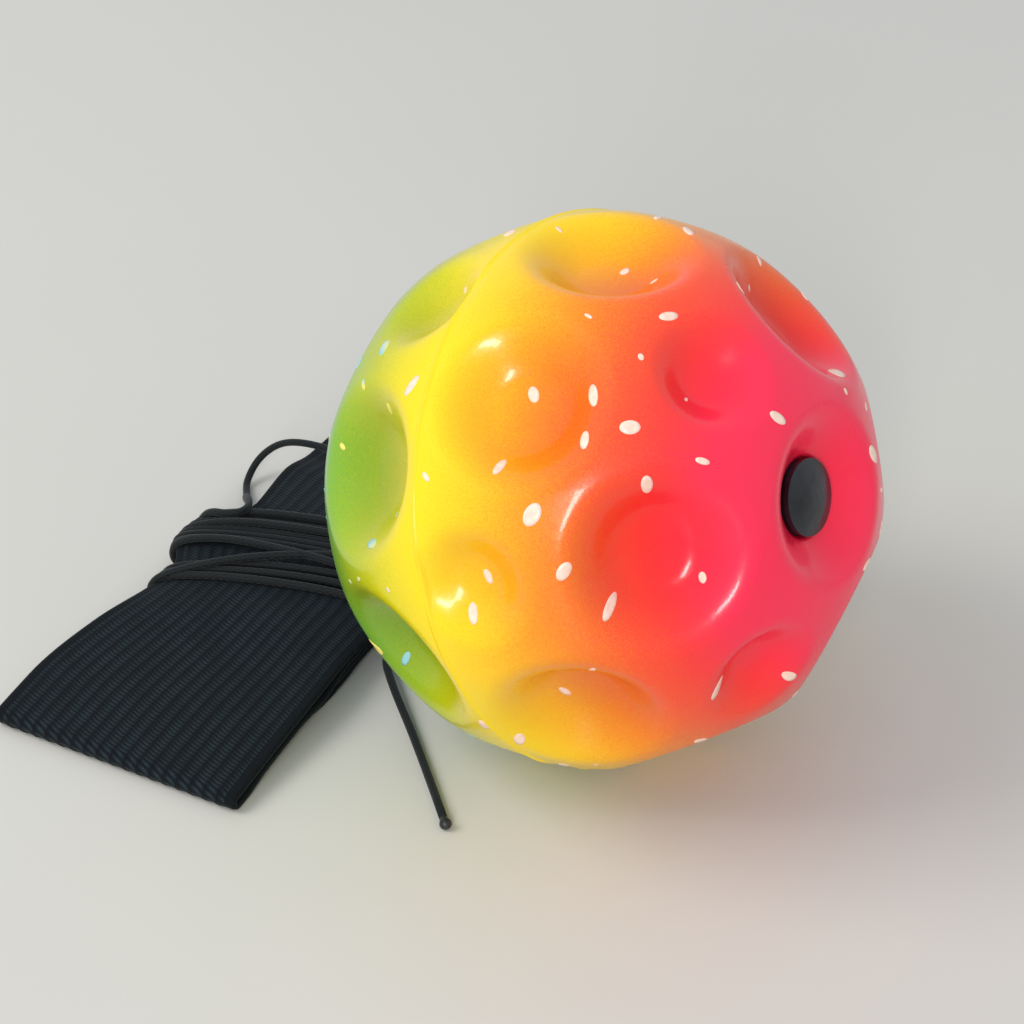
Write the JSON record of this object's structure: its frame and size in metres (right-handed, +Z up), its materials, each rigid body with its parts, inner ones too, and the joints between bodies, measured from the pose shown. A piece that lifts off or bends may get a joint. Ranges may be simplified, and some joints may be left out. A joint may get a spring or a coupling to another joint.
{
  "type": "reflex ball headband",
  "caption": "Reflex training ball of hollowed rainbow foam on an elastic cord, with its cord wound round a folded black elastic headband.",
  "frame": {"origin": "middle of the footprint of the folded band and the ball, on the surface they lie on", "axes": "+Z up; +Y along the folded band, from its front nose to its rear fold; +X from the band to the ball"},
  "size_m": [0.1057, 0.14, 0.0668],
  "materials": {
    "ball_foam": "smooth glossy foam skin, shading from pink-red at the cap through orange and yellow to green, with fine pale specks",
    "cap_plastic": "satin black moulded plastic",
    "tube_plastic": "natural extruded plastic",
    "washer_plastic": "plain moulded plastic",
    "cord": "braided cover of a round elastic cord",
    "cord_melt": "melted cord end",
    "band_elastic": "ribbed woven elastic with plain edges",
    "thread": "sewing thread"
  },
  "bodies": {
    "headband": {"headband_elastic": "band_elastic", "seam_stitches": "thread", "eyelet_stitches": "thread", "anchor_knot": "cord", "cord_lead": "cord", "cord_wrap": "cord", "cord_run": "cord", "cord_tail": "cord", "cord_tip": "cord_melt"},
    "cord_end": {"cord_inner": "cord", "stop_knot": "cord", "knot_washer": "washer_plastic"},
    "ball": {"foam_ball": "ball_foam", "core_tube": "tube_plastic"},
    "plug": {"plug_cap": "cap_plastic"}
  },
  "joints": [
    {"name": "ball_pull", "type": "slide", "parent": "headband", "child": "cord_end", "axis": [0.9893, -0.1461, 0], "range_m": [0, 0.025]},
    {"name": "ball_spin", "type": "hinge", "parent": "cord_end", "child": "ball", "pos_m": [0.0165, -0.027, 0.03338], "axis": [0.9327, -0.1377, 0.3333], "continuous": true},
    {"name": "plug_pull", "type": "slide", "parent": "ball", "child": "plug", "axis": [0.9327, -0.1377, 0.3333], "range_m": [0, 0.012]}
  ]
}
